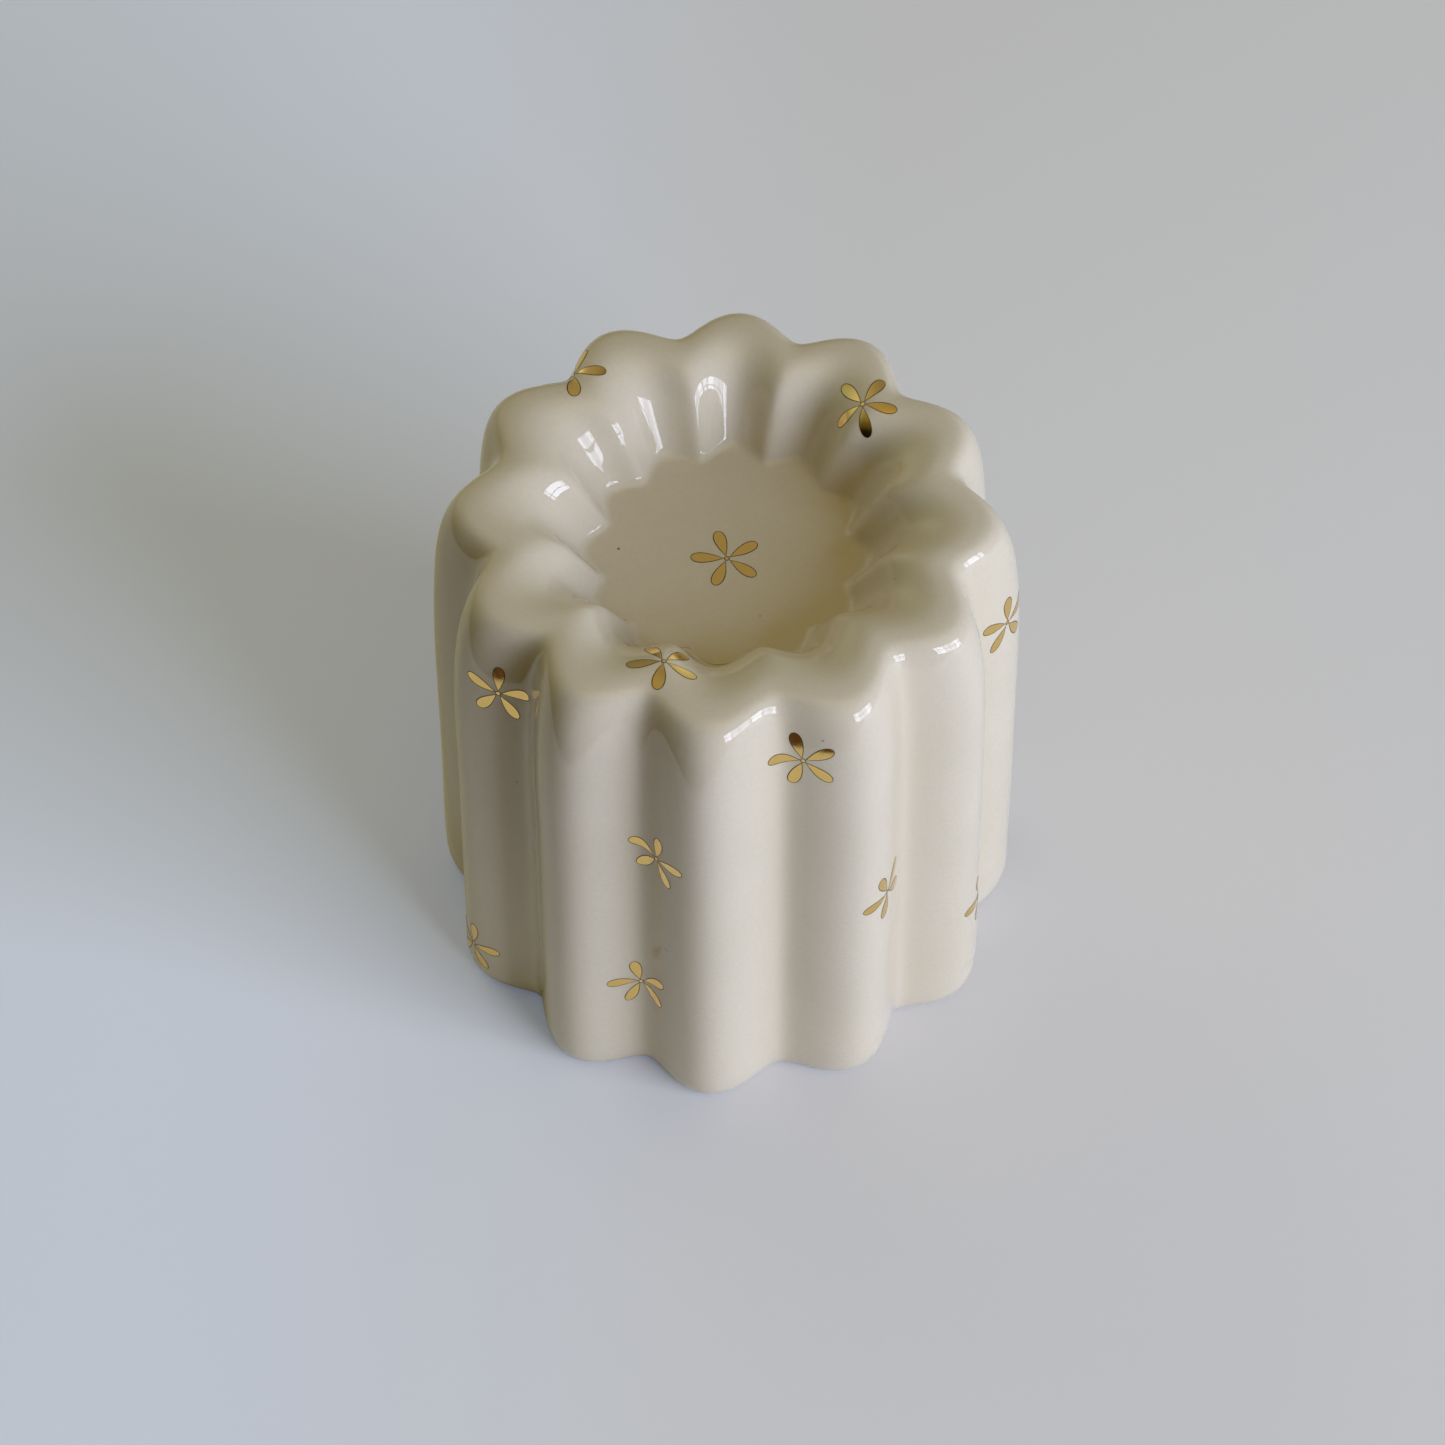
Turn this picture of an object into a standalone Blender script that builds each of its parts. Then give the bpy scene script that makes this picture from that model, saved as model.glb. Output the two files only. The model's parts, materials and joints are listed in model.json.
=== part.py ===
"""A glazed ceramic tealight holder in the shape of a canele, the small fluted French cake.

It is one piece: a fluted pillar, a little wider at its foot, with a broad soft rim round a shallow
well. The well has a flat floor, and its wall carries the same flutes as the outside. The meridian
through the middle of a lobe is drawn once as a turned profile. Every level of the solid then shares
one fluted plan: the azimuth alone says how far a point moves in towards the axis, so the lobes of
the outer wall run over the rim as pockets of the well, and the valleys run over it as ridges.

Metres, +Z up. The origin is the middle of the flat base, with lobes on +X, +Y, -X and -Y.
"""

import math

import bmesh
import bpy

# Flutes
LOBES = 12
FLUTE_DEPTH = 0.127  # share of its radius by which a valley lies inside the lobes
LOBE_FULLNESS = 0.66  # exponent of the lobe wave: below 1 the lobes are broad and the valleys narrow
VALLEY_SOFTENING = 0.02  # share of the wave that rounds the bottom of each valley

# Outer wall, all radii measured through the middle of a lobe
HEIGHT = 0.0929  # base to the highest ring of the rim
FOOT_RADIUS = 0.0471  # the straight wall, carried down to the base
NECK_RADIUS = 0.0448  # the straight wall, carried up to the height of the rim
FOOT_ROUND_IN = 0.0023  # how far the rounding at the base reaches in
FOOT_ROUND_UP = 0.0069  # and how far up the wall

# Rim
CREST_RADIUS = 0.0369  # the ring where the rim is highest
SHOULDER_DROP = 0.037  # the shoulder leaves the straight wall this far below the crest
SHOULDER_SQUARENESS = 3.45  # exponent of the shoulder's curve: 2 is an ellipse, more is squarer

# Well
WELL_DEPTH = 0.0126  # crest to floor
WELL_WALL_SLOPE = math.radians(56.3)
LIP_ROUND = 0.0121  # radius where the rim turns down into the well
WELL_FILLET = 0.0018  # radius where the wall of the well meets its floor

# Fineness of the solid
STEPS_PER_LOBE = 10
FLOOR_STEPS = 2
FILLET_STEPS = 3
WELL_WALL_STEPS = 2
LIP_STEPS = 6
SHOULDER_STEPS = 10
WALL_STEPS = 4
FOOT_STEPS = 4
BASE_STEPS = 2
MERGE_DISTANCE = 0.00001
SHARP_ANGLE = math.radians(50)

# Glaze
IVORY = (0.78, 0.73, 0.61, 1.0)
GLAZE_ROUGHNESS = 0.08


def remove_scene_objects():
    """Empties the scene, whatever was open before."""
    for thing in list(bpy.data.objects):
        bpy.data.objects.remove(thing, do_unlink=True)


def new_collection(name):
    """A collection of that name in the scene."""
    collection = bpy.data.collections.new(name)
    bpy.context.scene.collection.children.link(collection)
    return collection


def glaze_material():
    """Ivory gloss glaze."""
    material = bpy.data.materials.new("ivory_glaze")
    material.use_nodes = True
    shader = material.node_tree.nodes["Principled BSDF"]
    shader.inputs["Base Color"].default_value = IVORY
    shader.inputs["Roughness"].default_value = GLAZE_ROUGHNESS
    shader.inputs["Metallic"].default_value = 0.0
    return material


def between(start, end, steps):
    """The points of a straight run after its start, as (radius, height)."""
    return [
        (
            start[0] + (end[0] - start[0]) * step / steps,
            start[1] + (end[1] - start[1]) * step / steps,
        )
        for step in range(1, steps + 1)
    ]


def wall_radius(height):
    """Radius of the straight tapering wall at a height above the base."""
    return FOOT_RADIUS + (NECK_RADIUS - FOOT_RADIUS) * height / HEIGHT


def well_profile():
    """From the middle of the well's floor out to the crest of the rim."""
    slope = WELL_WALL_SLOPE
    floor_height = HEIGHT - WELL_DEPTH
    lip_end = (
        CREST_RADIUS - LIP_ROUND * math.sin(slope),
        HEIGHT - LIP_ROUND * (1 - math.cos(slope)),
    )
    fillet_top_height = floor_height + WELL_FILLET * (1 - math.cos(slope))
    fillet_top = (
        lip_end[0] - (lip_end[1] - fillet_top_height) / math.tan(slope),
        fillet_top_height,
    )
    floor_edge = (fillet_top[0] - WELL_FILLET * math.sin(slope), floor_height)

    points = [(0.0, floor_height)]
    points += between(points[0], floor_edge, FLOOR_STEPS)
    for step in range(1, FILLET_STEPS + 1):
        turn = slope * step / FILLET_STEPS
        points.append(
            (
                floor_edge[0] + WELL_FILLET * math.sin(turn),
                floor_height + WELL_FILLET * (1 - math.cos(turn)),
            )
        )
    points += between(fillet_top, lip_end, WELL_WALL_STEPS)
    for step in range(1, LIP_STEPS + 1):
        turn = slope * (1 - step / LIP_STEPS)
        points.append(
            (
                CREST_RADIUS - LIP_ROUND * math.sin(turn),
                HEIGHT - LIP_ROUND * (1 - math.cos(turn)),
            )
        )
    return points


def outer_profile():
    """From just past the crest, over the shoulder and down the wall to the middle of the base."""
    shoulder_base = HEIGHT - SHOULDER_DROP
    reach = wall_radius(HEIGHT) - CREST_RADIUS
    power = 2 / SHOULDER_SQUARENESS
    points = []
    for step in range(1, SHOULDER_STEPS + 1):
        turn = math.pi / 2 * (1 - step / SHOULDER_STEPS)
        height = shoulder_base + SHOULDER_DROP * math.sin(turn) ** power
        inward = reach * (1 - math.cos(turn) ** power)
        points.append((wall_radius(height) - inward, height))
    foot_start = (wall_radius(FOOT_ROUND_UP), FOOT_ROUND_UP)
    points += between(points[-1], foot_start, WALL_STEPS)
    for step in range(1, FOOT_STEPS + 1):
        turn = math.pi / 2 * step / FOOT_STEPS
        height = FOOT_ROUND_UP * (1 - math.sin(turn))
        inward = FOOT_ROUND_IN * (1 - math.cos(turn))
        points.append((wall_radius(height) - inward, height))
    points += between(points[-1], (0.0, 0.0), BASE_STEPS)
    return points


def turned_blank(points, material, collection):
    """A round solid turned from the profile, with the seam and both poles closed."""
    line = bpy.data.meshes.new("canele_profile")
    line.from_pydata(
        [(radius, 0.0, height) for radius, height in points],
        [(i, i + 1) for i in range(len(points) - 1)],
        [],
    )
    lathe = bpy.data.objects.new("canele_profile", line)
    collection.objects.link(lathe)
    screw = lathe.modifiers.new("turn", "SCREW")
    screw.axis = "Z"
    screw.steps = LOBES * STEPS_PER_LOBE
    screw.render_steps = screw.steps
    screw.use_merge_vertices = True
    screw.merge_threshold = MERGE_DISTANCE

    depsgraph = bpy.context.evaluated_depsgraph_get()
    mesh = bpy.data.meshes.new_from_object(lathe.evaluated_get(depsgraph))
    bpy.data.objects.remove(lathe, do_unlink=True)

    shape = bmesh.new()
    shape.from_mesh(mesh)
    bmesh.ops.remove_doubles(shape, verts=shape.verts, dist=MERGE_DISTANCE)
    shape.to_mesh(mesh)
    shape.free()

    mesh.name = "canele_body"
    mesh.materials.clear()
    mesh.materials.append(material)
    body = bpy.data.objects.new("canele_body", mesh)
    collection.objects.link(body)
    return body


def lobe_share(azimuth):
    """1 in the middle of a lobe and 0 at the bottom of a valley."""
    wave = (1 + math.cos(LOBES * azimuth)) / 2
    low = VALLEY_SOFTENING**LOBE_FULLNESS
    high = (1 + VALLEY_SOFTENING) ** LOBE_FULLNESS
    return ((wave + VALLEY_SOFTENING) ** LOBE_FULLNESS - low) / (high - low)


def flute(body):
    """Draws the valleys in towards the axis, at every level alike."""
    for vertex in body.data.vertices:
        azimuth = math.atan2(vertex.co.y, vertex.co.x)
        scale = 1 - FLUTE_DEPTH * (1 - lobe_share(azimuth))
        vertex.co.x *= scale
        vertex.co.y *= scale


def shade(body):
    """Smooth, but for the edge of the flat base."""
    body.data.shade_smooth()
    body.data.set_sharp_from_angle(angle=SHARP_ANGLE)


def main():
    remove_scene_objects()
    parts = new_collection("canele_tealight_holder")
    body = turned_blank(well_profile() + outer_profile(), glaze_material(), parts)
    flute(body)
    shade(body)


main()
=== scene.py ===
# %% [markdown]
# # A glazed ceramic canele with gold flowers
#
# The object is a small ceramic holder in the shape of a canele, the fluted French cake. It is one piece
# of pottery, cast in a mould, dipped in ivory glaze and decorated with little gold flowers. This lesson
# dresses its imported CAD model: it raises a fine smooth body ring by ring, flutes it, lays the flowers on
# its curves as the thin transfers they are, and mixes the glaze, the gold and the bare clay of its foot.
#
# Everything is in metres, +Z up, with the holder standing on the origin.

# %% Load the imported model
import json
import math

import bmesh
import bpy
from mathutils import Matrix, Vector
from mathutils.bvhtree import BVHTree

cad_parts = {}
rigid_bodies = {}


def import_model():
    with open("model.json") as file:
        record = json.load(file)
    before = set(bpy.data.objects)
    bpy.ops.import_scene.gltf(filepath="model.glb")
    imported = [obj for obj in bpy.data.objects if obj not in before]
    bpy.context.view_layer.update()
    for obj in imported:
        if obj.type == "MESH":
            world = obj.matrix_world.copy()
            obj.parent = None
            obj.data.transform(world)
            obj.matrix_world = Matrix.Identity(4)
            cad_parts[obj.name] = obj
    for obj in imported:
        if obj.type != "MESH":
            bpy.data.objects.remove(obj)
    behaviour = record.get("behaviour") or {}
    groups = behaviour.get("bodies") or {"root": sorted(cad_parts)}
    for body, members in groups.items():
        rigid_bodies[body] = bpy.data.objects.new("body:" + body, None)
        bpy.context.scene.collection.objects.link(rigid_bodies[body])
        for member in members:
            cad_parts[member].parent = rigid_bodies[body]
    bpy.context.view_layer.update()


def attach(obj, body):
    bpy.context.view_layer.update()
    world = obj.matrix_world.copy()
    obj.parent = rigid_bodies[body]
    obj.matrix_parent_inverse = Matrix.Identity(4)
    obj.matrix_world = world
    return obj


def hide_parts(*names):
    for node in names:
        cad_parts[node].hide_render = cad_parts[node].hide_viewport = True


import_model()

# %% [markdown]
# ## Working by hand, in code
#
# The body is modelled with the operators that a person uses in edit mode: extrude, scale, merge. An
# operator acts on whatever is selected, and the frame arrives selected, so the first thing is to let go
# of everything. One small helper does that. Another picks vertices by where they are, or by a number
# written on them, which is what a hand does with the mouse.

# %% Selecting by place
CLOSE_ENOUGH = 1e-6  # metres


def let_go():
    """Leaves edit mode and deselects everything."""
    if bpy.context.object and bpy.context.object.mode == "EDIT":
        bpy.ops.object.mode_set(mode="OBJECT")
    bpy.ops.object.select_all(action="DESELECT")


def pick_vertices(piece, wanted):
    """In edit mode, selects just the vertices that wanted() says yes to."""
    shape = bmesh.from_edit_mesh(piece.data)
    for vertex in shape.verts:
        vertex.select = bool(wanted(vertex))
    shape.select_flush_mode()
    bmesh.update_edit_mesh(piece.data)


let_go()
print("nothing is selected:", not bpy.context.selected_objects)

# %% [markdown]
# ## The section of the body
#
# Cut through the middle of a lobe, the body shows a line that runs from the middle of the well's floor,
# up its sloping wall, over the broad rim and down the outside to the base. It could be drawn with a
# hundred points, but it is only straight runs and round stretches, so each stretch is a formula: arcs
# for the fillet and the lip, a squarish superellipse for the shoulder and a small round at the foot.

# %% Sizes of the body
# in metres, with every radius measured through the middle of a lobe
LOBES = 12
HEIGHT = 0.0929
FOOT_RADIUS = 0.0471
NECK_RADIUS = 0.0448
FOOT_ROUND_IN = 0.0023
FOOT_ROUND_UP = 0.0069
CREST_RADIUS = 0.0369
SHOULDER_DROP = 0.037
SHOULDER_SQUARENESS = 3.45
WELL_DEPTH = 0.0126
WELL_SLOPE = math.radians(56.3)
LIP_ROUND = 0.0121
WELL_FILLET = 0.0024
WELL_FLOOR = HEIGHT - WELL_DEPTH


def wall_radius(height):
    """Radius of the straight, slightly tapering wall at a height."""
    return FOOT_RADIUS + (NECK_RADIUS - FOOT_RADIUS) * height / HEIGHT


def share(step, steps):
    """How far along a stretch a step is, from just over 0 to 1."""
    return step / steps


print("the well's floor lies", round(1000 * WELL_FLOOR, 1), "mm above the base")

# %% Rings outside the crest
SHOULDER_RINGS = 13
WALL_RINGS = 6
FOOT_RINGS = 5


def outer_rings():
    """(radius, height) of each ring from just outside the crest down to the edge of the base."""
    reach = wall_radius(HEIGHT) - CREST_RADIUS
    power = 2 / SHOULDER_SQUARENESS
    rings = []
    for step in range(1, SHOULDER_RINGS + 1):
        turn = math.pi / 2 * (1 - share(step, SHOULDER_RINGS))
        height = HEIGHT - SHOULDER_DROP + SHOULDER_DROP * math.sin(turn) ** power
        rings.append((wall_radius(height) - reach * (1 - math.cos(turn) ** power), height))
    top = rings[-1][1]
    for step in range(1, WALL_RINGS + 1):
        height = top + (FOOT_ROUND_UP - top) * share(step, WALL_RINGS)
        rings.append((wall_radius(height), height))
    for step in range(1, FOOT_RINGS + 1):
        turn = math.pi / 2 * share(step, FOOT_RINGS)
        height = FOOT_ROUND_UP * (1 - math.sin(turn))
        rings.append((wall_radius(height) - FOOT_ROUND_IN * (1 - math.cos(turn)), height))
    return rings


print("rings outside the crest:", len(outer_rings()))

# %% Rings inside the crest
LIP_RINGS = 8
WELL_WALL_RINGS = 4
FILLET_RINGS = 4


def inner_rings():
    """(radius, height) of each ring from just inside the crest down to the edge of the well's floor."""
    rings = []
    for step in range(1, LIP_RINGS + 1):
        turn = WELL_SLOPE * share(step, LIP_RINGS)
        height = HEIGHT - LIP_ROUND * (1 - math.cos(turn))
        rings.append((CREST_RADIUS - LIP_ROUND * math.sin(turn), height))
    lip_radius, lip_height = rings[-1]
    fillet_height = WELL_FLOOR + WELL_FILLET * (1 - math.cos(WELL_SLOPE))
    fillet_radius = lip_radius - (lip_height - fillet_height) / math.tan(WELL_SLOPE)
    for step in range(1, WELL_WALL_RINGS + 1):
        part = share(step, WELL_WALL_RINGS)
        height = lip_height + (fillet_height - lip_height) * part
        rings.append((lip_radius + (fillet_radius - lip_radius) * part, height))
    floor_edge = fillet_radius - WELL_FILLET * math.sin(WELL_SLOPE)
    for step in range(1, FILLET_RINGS + 1):
        turn = WELL_SLOPE * (1 - share(step, FILLET_RINGS))
        height = WELL_FLOOR + WELL_FILLET * (1 - math.cos(turn))
        rings.append((floor_edge + WELL_FILLET * math.sin(turn), height))
    return rings


print("rings inside the crest:", len(inner_rings()))

# %% [markdown]
# ## Raising the wall
#
# A lathe or the spin tool would turn the whole section in one go. Here the body is raised as a potter
# would raise it, ring after ring: a circle is laid where the rim is highest, its edge is extruded
# outwards and down to the base, then the first ring is picked again and extruded inwards, down into
# the well. Ring by ring means that every stretch gets the rings it needs, and each ring can be numbered
# as it is made, upwards from the crest outwards and downwards from the crest inwards, so that later steps
# can ask for the rings of the well by number. The rings that fill the two flat ends count from one again.

# %% Extruding ring by ring
STEPS_PER_LOBE = 10
COLUMNS = LOBES * STEPS_PER_LOBE
OUTWARDS = 1
INWARDS = -1


def number_ring(piece, number):
    """Writes the ring's number on the vertices that are selected."""
    shape = bmesh.from_edit_mesh(piece.data)
    layer = shape.verts.layers.int.get("ring") or shape.verts.layers.int.new("ring")
    for vertex in shape.verts:
        if vertex.select:
            vertex[layer] = number
    bmesh.update_edit_mesh(piece.data)


def extrude_rings(piece, rings, radius, height, direction):
    """Extrudes the selected ring along the (radius, height) list, numbering from one up or down."""
    for number, (next_radius, next_height) in enumerate(rings, start=1):
        bpy.ops.mesh.extrude_edges_move(TRANSFORM_OT_translate={"value": (0, 0, next_height - height)})
        scale = next_radius / radius
        bpy.ops.transform.resize(value=(scale, scale, 1), center_override=(0, 0, next_height))
        number_ring(piece, direction * number)
        radius, height = next_radius, next_height
    return radius, height


def close_ring(piece, number):
    """Closes the selected ring to a point."""
    bpy.ops.mesh.extrude_edges_move(TRANSFORM_OT_translate={"value": (0, 0, 0)})
    bpy.ops.mesh.merge(type="CENTER")
    number_ring(piece, number)


def close_disc(piece, radius, height, shares, last_number, direction):
    """Fills a flat end: rings at shares of its radius, then a point. Both of the last share a number."""
    rings = [(radius * part, height) for part in shares]
    extrude_rings(piece, rings, radius, height, direction)
    number_ring(piece, last_number)
    close_ring(piece, last_number)


print("columns round the body:", COLUMNS)

# %% Raise the body
CREST_RING = 0
# the rings of the flat base and of the well's floor, as shares of the radius of each
BASE_SHARES = (0.93, 0.6, 0.25)
FLOOR_SHARES = (0.96, 0.8, 0.55, 0.28)

bpy.ops.mesh.primitive_circle_add(vertices=COLUMNS, radius=CREST_RADIUS, location=(0, 0, HEIGHT))
body = bpy.context.object
body.name = body.data.name = "canele_glazed_body"
bpy.ops.object.transform_apply(location=True, rotation=True, scale=True)
bpy.ops.object.mode_set(mode="EDIT")
number_ring(body, CREST_RING)
edge_of_base = extrude_rings(body, outer_rings(), CREST_RADIUS, HEIGHT, OUTWARDS)
close_disc(body, *edge_of_base, BASE_SHARES, len(outer_rings()) + 1, OUTWARDS)

ring_of = bmesh.from_edit_mesh(body.data).verts.layers.int["ring"]
pick_vertices(body, lambda vertex: vertex[ring_of] == CREST_RING)
edge_of_floor = extrude_rings(body, inner_rings(), CREST_RADIUS, HEIGHT, INWARDS)
close_disc(body, *edge_of_floor, FLOOR_SHARES, -len(inner_rings()) - 1, INWARDS)
bpy.ops.object.mode_set(mode="OBJECT")
print("the turned body has", len(body.data.vertices), "vertices")

# %% [markdown]
# ## Twelve flutes
#
# Every level of the real form shares one plan: twelve broad lobes with narrower, softer valleys between
# them. Because the azimuth alone decides how far a point moves in, the flutes are made column by column.
# Each of the columns that run from the well to the base is selected and scaled towards the axis by its
# share of the lobe wave. The same move turns each column a little, because no two lobes of a cast piece
# are quite alike: some sit up to a degree out of step, and some are a little fuller.

# %% The wave of the flutes
FLUTE_DEPTH = 0.127
LOBE_FULLNESS = 0.66
VALLEY_SOFTENING = 0.02
# out of step, in degrees, and fuller, in hundredths of the radius, lobe by lobe round from +X
LOBE_TURNS = (-0.2, 0.0, 0.5, -0.3, -0.3, -0.5, 0.6, -0.1, -0.2, -0.7, 1.0, 0.4)
LOBE_SWELLS = (-0.2, -0.7, 0.3, 0.1, 0.1, -0.2, -0.2, 0.1, 0.5, -0.1, 0.0, 0.4)


def lobe_share(azimuth):
    """1 in the middle of a lobe and 0 at the bottom of a valley."""
    wave = (1 + math.cos(LOBES * azimuth)) / 2
    low = VALLEY_SOFTENING**LOBE_FULLNESS
    high = (1 + VALLEY_SOFTENING) ** LOBE_FULLNESS
    return ((wave + VALLEY_SOFTENING) ** LOBE_FULLNESS - low) / (high - low)


def between_lobes(values, azimuth):
    """A value given lobe by lobe, passing smoothly from one lobe to the next."""
    place = azimuth / math.tau * LOBES % LOBES
    first = int(place)
    blend = (1 - math.cos(math.pi * (place - first))) / 2
    return values[first] * (1 - blend) + values[(first + 1) % LOBES] * blend


def column_of(vertex):
    """The number of the column that a vertex belongs to, or None at the poles."""
    if math.hypot(vertex.co.x, vertex.co.y) < CLOSE_ENOUGH:
        return None
    return round(math.atan2(vertex.co.y, vertex.co.x) / math.tau * COLUMNS) % COLUMNS


print("valleys lie", round(1000 * FLUTE_DEPTH * NECK_RADIUS, 1), "mm inside the lobes")

# %% Flute the body
bpy.ops.object.mode_set(mode="EDIT")
for column in range(COLUMNS):
    azimuth = math.tau * column / COLUMNS
    pick_vertices(body, lambda vertex: column_of(vertex) == column)
    pull = 1 - FLUTE_DEPTH * (1 - lobe_share(azimuth)) + between_lobes(LOBE_SWELLS, azimuth) / 100
    bpy.ops.transform.resize(value=(pull, pull, 1), center_override=(0, 0, 0))
    # with no window open, rotate turns the other way, hence the minus sign
    turn = -math.radians(between_lobes(LOBE_TURNS, azimuth))
    bpy.ops.transform.rotate(value=turn, orient_axis="Z", center_override=(0, 0, 0))
bpy.ops.object.mode_set(mode="OBJECT")
print("fluted", COLUMNS, "columns")

# %% [markdown]
# ## A well slightly off centre
#
# In the photograph the rim is a little broader at the front than at the back, as happens when the plug
# that forms the well isn't quite centred in the mould. The rings of the well are picked by their numbers
# and moved back, with a share that grows from nothing at the crest to the whole at the lip's end. The
# rings that fill the floor count from one again, so most of them slide less than its edge does. On a flat
# floor that shows only at the front edge, as a fold a few tenths of a millimetre wide.

# %% Move the well back
WELL_BACK = 0.0014

bpy.ops.object.mode_set(mode="EDIT")
ring_of = bmesh.from_edit_mesh(body.data).verts.layers.int["ring"]
for number in range(1, len(inner_rings()) + 2):
    pick_vertices(body, lambda vertex: vertex[ring_of] == -number)
    part = min(1.0, number / LIP_RINGS)
    back = WELL_BACK * part * part * (3 - 2 * part)
    bpy.ops.transform.translate(value=(0, back, 0))
bpy.ops.mesh.select_all(action="SELECT")
bpy.ops.mesh.normals_make_consistent(inside=False)
bpy.ops.object.mode_set(mode="OBJECT")
print("the well sits", 1000 * WELL_BACK, "mm behind the middle")

# %% [markdown]
# ## Smooth as glaze
#
# A gloss surface shows every facet, because each reflection bends at it. A Subdivision Surface modifier
# rounds the cage, and a Displace modifier with slow clouds then gives the skin the faint unevenness of a
# cast and dipped piece, which makes the reflections swim a little. A vertex group keeps it off the foot,
# so that the base stays flat. Both are applied, so the mesh itself is the finished surface.

# %% Smooth the body
SMOOTH_LEVELS = 2
UNEVENNESS = 0.0003
UNEVEN_SIZE = 0.022
FOOT_KEPT_FLAT = 0.008


def apply_modifier(piece, kind, name, **settings):
    """Adds a modifier, sets it up and applies it."""
    modifier = piece.modifiers.new(name, kind)
    for setting, value in settings.items():
        setattr(modifier, setting, value)
    bpy.context.view_layer.objects.active = piece
    bpy.ops.object.modifier_apply(modifier=name)


apply_modifier(body, "SUBSURF", "smooth", levels=SMOOTH_LEVELS, render_levels=SMOOTH_LEVELS)
above = body.vertex_groups.new(name="above_the_foot")
above.add([v.index for v in body.data.vertices if v.co.z > FOOT_KEPT_FLAT], 1.0, "REPLACE")
slow_clouds = bpy.data.textures.new("slow_clouds", "CLOUDS")
slow_clouds.noise_scale = UNEVEN_SIZE
slow_clouds.noise_depth = 0
apply_modifier(body, "DISPLACE", "uneven", texture=slow_clouds, texture_coords="LOCAL",
               strength=UNEVENNESS, mid_level=0.5, vertex_group="above_the_foot")
body.vertex_groups.clear()
bpy.ops.object.shade_smooth()
print("finished body:", len(body.data.polygons), "faces")
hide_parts("canele_body")
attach(body, "root")

# %% [markdown]
# ## One petal, flat
#
# The gold flowers are transfers: gold printed on thin film, slid wet onto the glaze, smoothed down and
# fired. So one flower is modelled flat, as it lies on its sheet, and only then laid on the body. A petal
# starts as a circle. Each pair of its points is drawn in to the width of a teardrop there, pointed at the
# inner end and round at the outer one. Its edge is then extruded inwards in smaller and smaller
# teardrops. The first ring is the dark line where the gold thins out and burns into the glaze, and the
# others give the petal enough faces to bend over a lobe.

# %% The form of a petal
PETAL_POINTS = 36
PETAL_LENGTH = 0.00508
PETAL_WIDTH = 0.0021
PETAL_START = 0.00047  # from the middle of the flower to the petal's point
TEARDROP = 1.1
TEARDROP_TOP = 0.79  # the wave's highest value is just under this, so a petal is 2.0 mm wide
PETAL_HEART = 0.66  # the rings shrink towards this share of the length
OUTLINE = 0.00014
PETAL_RINGS = (0.78, 0.55, 0.3)


def teardrop_width(turn):
    """Half the petal's width, from its point at a turn of 0 to its round end at half a turn."""
    return PETAL_WIDTH / 2 * math.sin(turn) * math.sin(turn / 2) ** TEARDROP / TEARDROP_TOP


def ring_inwards(piece, number, heart, scale_x, scale_y):
    """Extrudes the selected outline inwards by scaling it towards the heart."""
    bpy.ops.mesh.extrude_edges_move(TRANSFORM_OT_translate={"value": (0, 0, 0)})
    bpy.ops.transform.resize(value=(scale_x, scale_y, 1), center_override=(heart, 0, 0))
    number_ring(piece, number)


print("a petal ends", round(1000 * (PETAL_START + PETAL_LENGTH), 2), "mm from the flower's middle")

# %% Shape one petal
middle = PETAL_START + PETAL_LENGTH / 2
bpy.ops.mesh.primitive_circle_add(vertices=PETAL_POINTS, radius=PETAL_LENGTH / 2, location=(middle, 0, 0))
petal = bpy.context.object
bpy.ops.object.transform_apply(location=True, rotation=True, scale=True)
bpy.ops.object.mode_set(mode="EDIT")
for step in range(1, PETAL_POINTS // 2):
    turn = math.tau * step / PETAL_POINTS
    across = middle - PETAL_LENGTH / 2 * math.cos(turn)
    pick_vertices(petal, lambda vertex: abs(vertex.co.x - across) < CLOSE_ENOUGH)
    scale = teardrop_width(turn) / (PETAL_LENGTH / 2 * math.sin(turn))
    bpy.ops.transform.resize(value=(1, scale, 1), center_override=(0, 0, 0))
bpy.ops.mesh.select_all(action="SELECT")
number_ring(petal, 0)
heart = PETAL_START + PETAL_HEART * PETAL_LENGTH
gold_length = 1 - 2 * OUTLINE / PETAL_LENGTH
gold_width = 1 - 2 * OUTLINE / PETAL_WIDTH
ring_inwards(petal, 1, heart, gold_length, gold_width)
size = 1.0
for number, part in enumerate(PETAL_RINGS, start=2):
    ring_inwards(petal, number, heart, part / size, part / size)
    size = part
close_ring(petal, len(PETAL_RINGS) + 2)
bpy.ops.object.mode_set(mode="OBJECT")
print("one petal:", [round(1000 * side, 2) for side in petal.dimensions], "mm")

# %% [markdown]
# ## Five petals and an eye
#
# The petal is copied round the middle in steps of a fifth of a turn, and a tiny ringed disc, the eye of
# the flower, sits between their points. Joined, they are one flat flower, 10.6 mm across.

# %% The eye of the flower
EYE_RADIUS = 0.00045
EYE_POINTS = 16
EYE_GOLD = 0.72  # share of the eye inside its dark ring

bpy.ops.mesh.primitive_circle_add(vertices=EYE_POINTS, radius=EYE_RADIUS)
eye = bpy.context.object
bpy.ops.object.mode_set(mode="EDIT")
number_ring(eye, 0)
ring_inwards(eye, 1, 0, EYE_GOLD, EYE_GOLD)
close_ring(eye, 2)
bpy.ops.object.mode_set(mode="OBJECT")
print("the eye has", len(eye.data.vertices), "vertices")

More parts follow.
